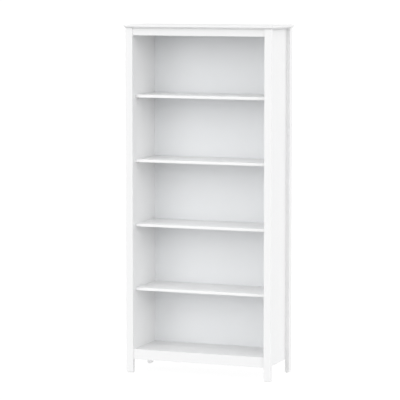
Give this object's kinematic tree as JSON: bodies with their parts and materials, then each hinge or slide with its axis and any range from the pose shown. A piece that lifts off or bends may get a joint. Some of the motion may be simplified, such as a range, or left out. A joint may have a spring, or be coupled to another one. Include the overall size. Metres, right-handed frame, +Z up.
{
  "type": "bookcase",
  "caption": "Tall white shaker-style bookcase on legs: framed sides, moulded top board, fixed bottom shelf, thin back and adjustable shelves on pins.",
  "frame": {"origin": "centre of the footprint's bounding box, on the floor", "axes": "+Z up; +X to the right and -Y towards the viewer, looking at the open front"},
  "size_m": [0.806, 0.329, 1.8],
  "materials": {
    "white_paint": "satin white lacquer",
    "back_board": "white painted face, raw hardboard rear face",
    "cap_plastic": "fine matte",
    "glide_plastic": "matte",
    "zinc": "zinc plated",
    "pin_steel": "nickel plated",
    "beech": "raw, fluted"
  },
  "bodies": {
    "case": {"top_board": "white_paint", "top_rail": "white_paint", "bottom_rail": "white_paint", "rear_top_rail": "white_paint", "rear_bottom_rail": "white_paint", "bottom_shelf": "white_paint", "back_panel": "back_board", "cam_locks": "zinc", "cam_dowels": "zinc", "cam_covers": "cap_plastic", "rail_dowels": "beech", "frame_dowels": "beech", "back_screws": "zinc", "side_panel_left": "white_paint", "side_panel_right": "white_paint", "front_post_left": "white_paint", "front_post_right": "white_paint", "rear_post_left": "white_paint", "rear_post_right": "white_paint", "glide_front_left": "glide_plastic", "glide_front_right": "glide_plastic", "glide_rear_left": "glide_plastic", "glide_rear_right": "glide_plastic"},
    "shelf_1": {"shelf_1": "white_paint"},
    "shelf_2": {"shelf_2": "white_paint"},
    "shelf_3": {"shelf_3": "white_paint"},
    "shelf_4": {"shelf_4": "white_paint"},
    "pin_1_front_left": {"pin_1_front_left": "pin_steel"},
    "pin_1_front_right": {"pin_1_front_right": "pin_steel"},
    "pin_1_rear_left": {"pin_1_rear_left": "pin_steel"},
    "pin_1_rear_right": {"pin_1_rear_right": "pin_steel"},
    "pin_2_front_left": {"pin_2_front_left": "pin_steel"},
    "pin_2_front_right": {"pin_2_front_right": "pin_steel"},
    "pin_2_rear_left": {"pin_2_rear_left": "pin_steel"},
    "pin_2_rear_right": {"pin_2_rear_right": "pin_steel"},
    "pin_3_front_left": {"pin_3_front_left": "pin_steel"},
    "pin_3_front_right": {"pin_3_front_right": "pin_steel"},
    "pin_3_rear_left": {"pin_3_rear_left": "pin_steel"},
    "pin_3_rear_right": {"pin_3_rear_right": "pin_steel"},
    "pin_4_front_left": {"pin_4_front_left": "pin_steel"},
    "pin_4_front_right": {"pin_4_front_right": "pin_steel"},
    "pin_4_rear_left": {"pin_4_rear_left": "pin_steel"},
    "pin_4_rear_right": {"pin_4_rear_right": "pin_steel"}
  },
  "joints": [
    {"name": "shelf_1_out", "type": "slide", "parent": "case", "child": "shelf_1", "axis": [0, -1, 0], "range_m": [0, 0.33]},
    {"name": "shelf_2_out", "type": "slide", "parent": "case", "child": "shelf_2", "axis": [0, -1, 0], "range_m": [0, 0.33]},
    {"name": "shelf_3_out", "type": "slide", "parent": "case", "child": "shelf_3", "axis": [0, -1, 0], "range_m": [0, 0.33]},
    {"name": "shelf_4_out", "type": "slide", "parent": "case", "child": "shelf_4", "axis": [0, -1, 0], "range_m": [0, 0.33]},
    {"name": "pin_1_front_left_out", "type": "slide", "parent": "case", "child": "pin_1_front_left", "axis": [1, 0, 0], "range_m": [0, 0.012]},
    {"name": "pin_1_front_right_out", "type": "slide", "parent": "case", "child": "pin_1_front_right", "axis": [-1, 0, 0], "range_m": [0, 0.012]},
    {"name": "pin_1_rear_left_out", "type": "slide", "parent": "case", "child": "pin_1_rear_left", "axis": [1, 0, 0], "range_m": [0, 0.012]},
    {"name": "pin_1_rear_right_out", "type": "slide", "parent": "case", "child": "pin_1_rear_right", "axis": [-1, 0, 0], "range_m": [0, 0.012]},
    {"name": "pin_2_front_left_out", "type": "slide", "parent": "case", "child": "pin_2_front_left", "axis": [1, 0, 0], "range_m": [0, 0.012]},
    {"name": "pin_2_front_right_out", "type": "slide", "parent": "case", "child": "pin_2_front_right", "axis": [-1, 0, 0], "range_m": [0, 0.012]},
    {"name": "pin_2_rear_left_out", "type": "slide", "parent": "case", "child": "pin_2_rear_left", "axis": [1, 0, 0], "range_m": [0, 0.012]},
    {"name": "pin_2_rear_right_out", "type": "slide", "parent": "case", "child": "pin_2_rear_right", "axis": [-1, 0, 0], "range_m": [0, 0.012]},
    {"name": "pin_3_front_left_out", "type": "slide", "parent": "case", "child": "pin_3_front_left", "axis": [1, 0, 0], "range_m": [0, 0.012]},
    {"name": "pin_3_front_right_out", "type": "slide", "parent": "case", "child": "pin_3_front_right", "axis": [-1, 0, 0], "range_m": [0, 0.012]},
    {"name": "pin_3_rear_left_out", "type": "slide", "parent": "case", "child": "pin_3_rear_left", "axis": [1, 0, 0], "range_m": [0, 0.012]},
    {"name": "pin_3_rear_right_out", "type": "slide", "parent": "case", "child": "pin_3_rear_right", "axis": [-1, 0, 0], "range_m": [0, 0.012]},
    {"name": "pin_4_front_left_out", "type": "slide", "parent": "case", "child": "pin_4_front_left", "axis": [1, 0, 0], "range_m": [0, 0.012]},
    {"name": "pin_4_front_right_out", "type": "slide", "parent": "case", "child": "pin_4_front_right", "axis": [-1, 0, 0], "range_m": [0, 0.012]},
    {"name": "pin_4_rear_left_out", "type": "slide", "parent": "case", "child": "pin_4_rear_left", "axis": [1, 0, 0], "range_m": [0, 0.012]},
    {"name": "pin_4_rear_right_out", "type": "slide", "parent": "case", "child": "pin_4_rear_right", "axis": [-1, 0, 0], "range_m": [0, 0.012]}
  ]
}
